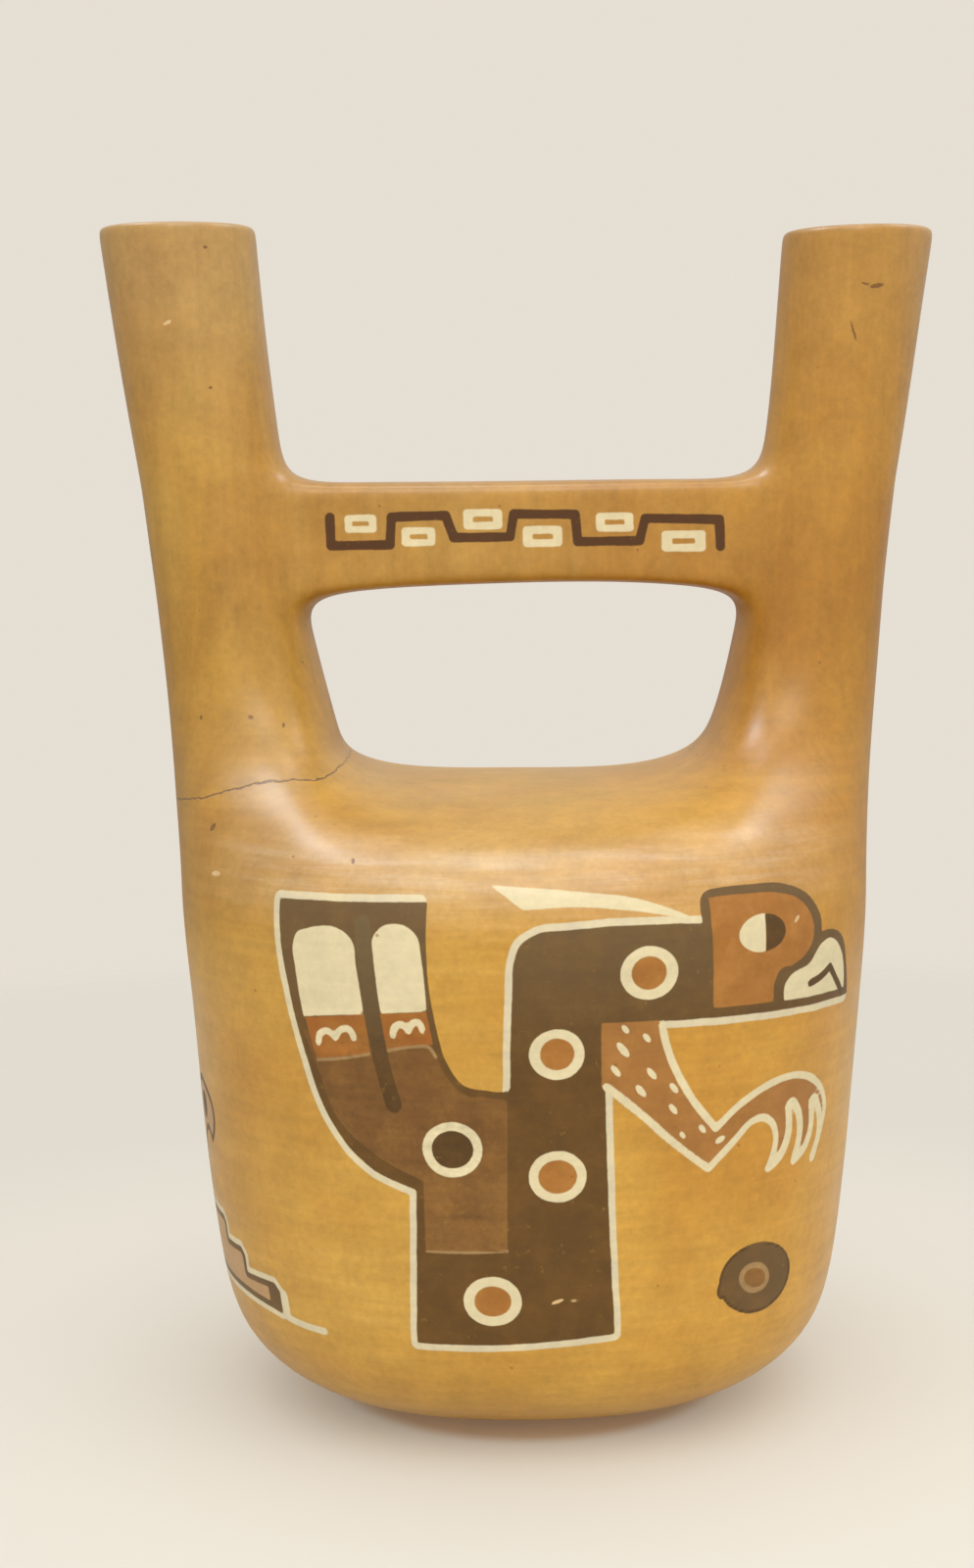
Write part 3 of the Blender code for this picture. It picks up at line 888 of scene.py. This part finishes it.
finish = {
    "ochre": (0.528, 0.313, 0.055, 1),
    "ochreDeep": (0.468, 0.249, 0.036, 1),
    "ochrePale": (0.586, 0.375, 0.088, 1),
    "haze": (0.505, 0.468, 0.415, 1),          # painted sheen: the slip made pale where the light catches it
    "rightTint": (0.985, 0.890, 0.710, 1),     # the right side is redder
    "leftTint": (0.880, 0.820, 0.780, 1),      # and painted shade, the far left darker
    # painted shade and light: tints at heights in metres, of the flanks and spouts, and of the middle
    "flankShadeTints": [(0.095, (1, 1, 1, 1)), (0.1175, (0.86, 0.83, 0.69, 1)),
                   (0.135, (0.80, 0.77, 0.61, 1)), (0.17, (0.69, 0.62, 0.47, 1)),
                   (0.20, (0.80, 0.76, 0.74, 1)), (0.24, (0.75, 0.74, 0.96, 1))],
    "middleShadeTints": [(0.125, (1, 1, 1, 1)), (0.135, (1, 0.99, 0.77, 1)),
                    (0.165, (0.79, 0.75, 0.76, 1)), (0.18, (0.78, 0.74, 0.82, 1))],
    "tintSpan": 0.25,
    "outline": (0.570, 0.505, 0.355, 1),
    "cream": (0.625, 0.550, 0.350, 1),
    "brown": (0.150, 0.066, 0.012, 1),
    "brownPale": (0.205, 0.096, 0.019, 1),
    "dark": (0.096, 0.044, 0.005, 1),
    "darkPale": (0.128, 0.060, 0.008, 1),
    # greyer dark: rubbed on the disc and the bar, a painted sheen on the neck
    "darkRubbed": (0.165, 0.118, 0.055, 1),
    "fretDark": (0.066, 0.021, 0.001, 1),
    "ink": (0.072, 0.034, 0.004, 1),
    "tan": (0.420, 0.258, 0.118, 1),
    "terracotta": (0.375, 0.164, 0.032, 1),
    "terracottaDeep": (0.310, 0.125, 0.019, 1),
    "arm": (0.350, 0.158, 0.036, 1),
    "armDeep": (0.295, 0.128, 0.026, 1),
    "seam": (0.300, 0.184, 0.073, 1),
    "rust": (0.270, 0.090, 0.010, 1),
    "crack": (0.120, 0.060, 0.020, 1),
    "nick": (0.180, 0.080, 0.012, 1),
    "rub": (0.580, 0.400, 0.190, 1),
    "clay": (0.330, 0.160, 0.060, 1),
    # the layers in the order of painting, each with its thin tone and its full one
    "tones": {"outline": ("outline", "cream"), "dark": ("dark", "darkPale"),
              "brown": ("brown", "brownPale"), "tan": ("tan", "tan"),
              "rust": ("rust", "terracottaDeep"), "terracotta": ("terracottaDeep", "terracotta"),
              "arm": ("armDeep", "arm"), "seam": ("seam", "seam"), "cream": ("cream", "cream"),
              "dots": ("cream", "cream"), "ink": ("ink", "dark"), "rub": ("rub", "rub"),
              "nick": ("nick", "nick")},
    # noises: scale, detail, roughness
    "cloud": (26, 4, 0.55), "strokes": (30, 4, 0.6), "hairs": (110, 4, 0.6), "grain": (650, 4, 0.7),
    "mottle": (140, 3, 0.6), "brushed": (150, 4, 0.65), "worn": (420, 4, 0.7),
    "waver": (190, 2, 0.5), "fray": (900, 2, 0.6), "jag": (350, 3, 0.6),
    "level": (0.35, 0.35, 5), "upright": (5, 5, 0.3),       # how the strokes are drawn out
    # from where to where a noise is taken, and how much it then gives
    "cloudTaken": (0.35, 0.7), "paleTaken": (0.45, 0.8), "paleGiven": (0, 0.4),
    "brushTaken": (0.35, 0.72), "wornTaken": (0.62, 0.72), "wornShare": 0.15,
    "dullTaken": (0.3, 0.75), "dullGiven": (-0.05, 0.07),
    "bandTaken": (0.42, 0.68), "bandGiven": (0.35, 0.8),
    # reaches in metres, across or up, over which one thing passes into another
    "spoutUp": (0.135, 0.165), "flankAcross": (0.034, 0.056),
    "rightAcross": (-0.03, 0.06), "leftAcross": (-0.075, -0.012),
    "bandFoot": (0.108, 0.120), "bandTop": (0.124, 0.132), "bandAcross": (0.04, 0.075),
    "lipUp": (0.195, 0.245), "lipAcross": (-0.03, 0.03),
    "lowRightAcross": (0.05, 0.075), "lowRightUp": (0.09, 0.12), "farRight": (0.076, 0.086),
    "brownUp": (0.045, 0.085), "clayUp": (0.236, 0.242), "fretUp": (0.150, 0.160),
    "discUp": (0.052, 0.062), "discAcross": (0.030, 0.036),
    "neckUp": (0.080, 0.112), "neckTop": (0.120, 0.140),
    "barUp": (0.080, 0.110), "barAcross": (-0.02, 0.0),
    # how much painted sheen lies on the shoulder band, the top of the left spout and the right side
    "bandHaze": 0.38, "lipHaze": 0.06, "rightHaze": 0.08,
    # how much there is at either end of such a reach
    "brownPaler": (0.16, -0.10), "discRubbed": (0.24, 0), "neckSheen": (0, 0.34),
    "barRubbed": (0, 0.60), "fretDarker": (0, 0.85),
    "edge": (-0.16, 0.16),          # softness of a painted edge, in millimetres
    "tremble": 0.36, "frayed": 0.16,         # how far the brush strays from its line
    "underPaint": 0.75,             # how much of the paint below still stands out
    "grainShade": 0.45, "mottleShade": 0.42, "hairShade": 0.34, "spoutHairShade": -0.08,
    "brownShade": 0.8, "coverShade": -0.4,
    "jagged": 1.6, "crackLine": (0.05, 0.24), "crackShare": 0.9,
    "gritScale": 240, "speckSize": (0.05, 0.11), "speckFew": (0.86, 0.88), "speckShare": 0.55,
    "roughness": 0.39, "grainDull": 0.06, "coverDull": 0.06, "clayDull": 0.4,
    "strokeRelief": 0.25, "hairRelief": 0.10, "grainRelief": 0.10, "paintRelief": 0.35,
    "crackRelief": -1.2, "hollowRelief": -0.8, "speckRelief": -0.5,
    "bumpStrength": 0.35, "bumpDepth": 0.0004,
    "coat": 0.14, "coatLess": 0.12, "coatRoughness": 0.30, "refraction": 1.40,
}


def bareSlip(f, across, height, onSpout, stroked, hairs):        # the ochre, deep and pale in places, with painted shade and painted sheen
    ochre = f.mix(f.rise(f.noise("cloud"), "cloudTaken"), "ochreDeep", "ochre")
    ochre = f.mix(f.rise(stroked, "paleTaken", "paleGiven"), ochre, "ochrePale")
    # painted shade and light by height, on the flanks and spouts and in the middle
    tints = []
    for name in ("middleShadeTints", "flankShadeTints"):
        stops = [(up / finish["tintSpan"], tint) for up, tint in finish[name]]
        share = height * (1 / finish["tintSpan"])
        tints.append(f.node("ShaderNodeValToRGB", {"stops": stops}, {0: share}))
    tint = f.mix(f.rise(abs(across), "flankAcross"), *tints)
    ochre = f.mix(1.0, ochre, tint, blend="MULTIPLY")
    ochre = f.mix(f.rise(across, "rightAcross"), ochre, "rightTint", blend="MULTIPLY")
    # painted shade on the far left of the body
    onLeft = f.fall(across, "leftAcross") * (1 - onSpout)
    ochre = f.mix(onLeft, ochre, "leftTint", blend="MULTIPLY")
    # painted sheen: a streaky pale band along the shoulder, on the top of the left spout, and down the
    # right side
    band = f.rise(height, "bandFoot") * f.fall(height, "bandTop") * f.fall(abs(across), "bandAcross")
    band = band * f.rise(hairs, "bandTaken", "bandGiven")
    lip = f.rise(height, "lipUp") * f.fall(across, "lipAcross")
    right = f.rise(across, "lowRightAcross") * f.fall(height, "lowRightUp")
    right = right + f.rise(across, "farRight")
    return f.mix(f.weigh(bandHaze=band, lipHaze=lip, rightHaze=right), ochre, "haze")


def wornAndSheenTone(f, name, tone, across, height, worn):
    if name == "dark":                   # rubbed greyer on the disc, and greyer with a painted sheen where the neck turns over
        onDisc = f.rise(height, "discUp", "discRubbed") * f.rise(abs(across), "discAcross")
        onNeck = f.rise(height, "neckUp", "neckSheen") * f.fall(height, "neckTop")
        tone = f.mix(onDisc + onNeck, tone, "darkRubbed")
        tone = f.mix(f.rise(height, "fretUp", "fretDarker"), tone, "fretDark")
    if name == "ink":                    # and the bar between the tail's two windows is rubbed greyer
        onBar = f.rise(height, "barUp", "barRubbed") * f.fall(across, "barAcross")
        tone = f.mix(onBar, tone, "darkRubbed")
    if name in ("brown", "dark", "ink", "arm"):
        tone = f.mix(worn * finish["wornShare"], tone, "ochre")
    return tone


def paintOver(f, colour, across, height):
    waver = f.weigh(tremble=f.swing("waver"), frayed=f.swing("fray"))
    brushed, worn = f.noise("brushed"), f.rise(f.noise("worn"), "wornTaken")
    shares = {}                          # 1 where each colour lies
    thick = cover = hollow = 0.0
    for name, (thin, full) in finish["tones"].items():
        share = shares[name] = f.fall(f.layer(name) + waver, "edge")
        streaks = brushed
        if name == "brown":
            streaks = streaks + f.rise(height, "brownUp", "brownPaler")
        tone = wornAndSheenTone(f, name, f.mix(f.rise(streaks, "brushTaken"), thin, full), across, height, worn)
        colour = f.mix(share, colour, tone)
        if name in ("rub", "nick"):
            hollow = hollow + share
        else:
            thick = thick * finish["underPaint"] + share * (1 - finish["underPaint"])
            cover = f.node("ShaderNodeMath", {"operation": "MAXIMUM"}, {0: cover, 1: share})
    return colour, shares["brown"], thick, cover, hollow


def slipFinish():
    f = Finish(bpy.data.materials.new("painted_slip"), finish)
    place = f.node("ShaderNodeTexCoord", out=3)
    across, height = [f.node("ShaderNodeSeparateXYZ", None, {0: place}, out=axis) for axis in (0, 2)]
    onSpout = f.rise(height, "spoutUp")

    def strokes(name):                   # the burnisher's strokes: round the body, and up the spouts
        return f.noise(name, "level") * (1 - onSpout) + f.noise(name, "upright") * onSpout

    stroked, hairs, grain = strokes("strokes"), strokes("hairs"), f.noise("grain")
    colour = bareSlip(f, across, height, onSpout, stroked, hairs)
    colour, brown, thick, cover, hollow = paintOver(f, colour, across, height)

    fine = hairs - 0.5
    shade = f.weigh(grainShade=grain - 0.5, mottleShade=f.swing("mottle"), hairShade=fine,
                    spoutHairShade=fine * onSpout)
    shade = shade * (f.weigh(brownShade=brown, coverShade=cover) + 1) + 1
    colour = f.node("ShaderNodeVectorMath", {"operation": "SCALE"}, {0: colour, "Scale": shade})

    crackAt = abs(f.layer("crack") + f.swing("jag") * finish["jagged"])
    line = f.fall(crackAt, "crackLine") * f.layer("crackReach")
    colour = f.mix(line * finish["crackShare"], colour, "crack")
    grit = f.node("ShaderNodeTexVoronoi", None, {"Vector": place, "Scale": "gritScale"})
    kept = f.node("ShaderNodeSeparateColor", None, {0: Wire(f, grit.socket.node.outputs["Color"])})
    specks = f.fall(grit, "speckSize") * f.rise(kept, "speckFew")
    colour = f.mix(specks * finish["speckShare"], colour, "nick")
    raw = f.layer("inside") * f.fall(height, "clayUp")
    colour = f.mix(raw, colour, "clay")

    dull = f.weigh(grainDull=grain, coverDull=cover, clayDull=raw) + finish["roughness"]
    relief = f.weigh(strokeRelief=stroked, hairRelief=hairs, grainRelief=grain, paintRelief=thick,
                     crackRelief=line, hollowRelief=hollow, speckRelief=specks)
    bump = {"Strength": "bumpStrength", "Distance": "bumpDepth", "Height": relief}
    f.set(Base_Color=colour, Roughness=dull + f.rise(stroked, "dullTaken", "dullGiven"),
          Normal=f.node("ShaderNodeBump", None, bump),
          Coat_Weight=finish["coat"] - cover * finish["coatLess"],
          Coat_Roughness="coatRoughness", IOR="refraction")
    return f.owner


print("firing the finish")
mesh.materials.clear()
mesh.materials.append(slipFinish())
piece = placed("painted_vessel", mesh)
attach(piece, "root")
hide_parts("vessel_bowl", "vessel_shoulder", "left_spout", "right_spout", "bridge")


def floorFinish():
    f = Finish(bpy.data.materials.new("studio_floor"), studio)
    place = f.node("ShaderNodeTexCoord", out=3)
    away = f.node("ShaderNodeVectorMath", {"operation": "LENGTH"}, {0: place}, out=1)
    # a painted pool of light round the piece
    floor = f.mix(f.fall(away, "poolFade"), "floorColour", "floorPool")
    # a painted contact shadow close to the base
    floor = f.mix(f.fall(away, "underFade"), floor, "floorUnder")
    f.set(Base_Color=floor, Roughness="floorDull", Specular_IOR_Level="floorGloss")
    air = f.node("ShaderNodeBsdfTransparent")
    shader = Wire(f, f.shader.outputs[0])
    fade = f.rise(away, "floorFade")
    mixed = f.node("ShaderNodeMixShader", None, {0: fade, 1: shader, 2: air})
    f.feed(f.tree.nodes["Material Output"].inputs[0], mixed)
    return f.owner


def setStudio():
    bm = bmesh.new()
    bmesh.ops.create_circle(bm, cap_ends=True, segments=studio["floorCorners"],
                            radius=studio["floorSize"])
    mesh = bpy.data.meshes.new("floor")
    bm.to_mesh(mesh)
    bm.free()
    mesh.materials.append(floorFinish())
    floor = placed("floor", mesh)
    for name, place, size, power in studio["lamps"]:
        light = bpy.data.lights.new(name, "AREA")
        light.shape, light.size, light.energy = "DISK", size, power
        light.color = studio["fillColour" if name == "fill" else "sheenColour"]
        light.use_shadow = name != "fill"        # the fill only softens the shadows
        lamp = placed(name, light)
        lamp.visible_glossy = name != "fill"
        lamp.visible_diffuse = name == "fill"    # the others only show in the gloss
        lamp.location = place
        aim = Vector(studio["lampAim"]) - Vector(place)
        lamp.rotation_euler = aim.to_track_quat("-Z", "Y").to_euler()
    bpy.context.scene.world = airFinish()
    bpy.context.scene.view_settings.view_transform = "Standard"


def airFinish():                         # soft light from all round, and a plain wall where it is seen
    f = Finish(bpy.data.worlds.new("studio"), studio)
    direction = f.node("ShaderNodeTexCoord")
    strength = 0.0
    for number, (low, high) in enumerate(studio["airFrom"].values()):
        toward = f.node("ShaderNodeSeparateXYZ", None, {0: direction}, out=number)
        strength = strength + f.rise(toward, "airTurn", (low, high))
    air = f.node("ShaderNodeBackground", None, {0: (*studio["air"], 1), 1: strength})
    wall = f.node("ShaderNodeBackground", None, {0: (*studio["wall"], 1)})
    seen = f.node("ShaderNodeLightPath")
    f.feed(f.tree.nodes["World Output"].inputs[0],
           f.node("ShaderNodeMixShader", None, {0: seen, 1: air, 2: wall}))
    return f.owner


print("setting up the studio")
setStudio()

bpy.context.view_layer.update()
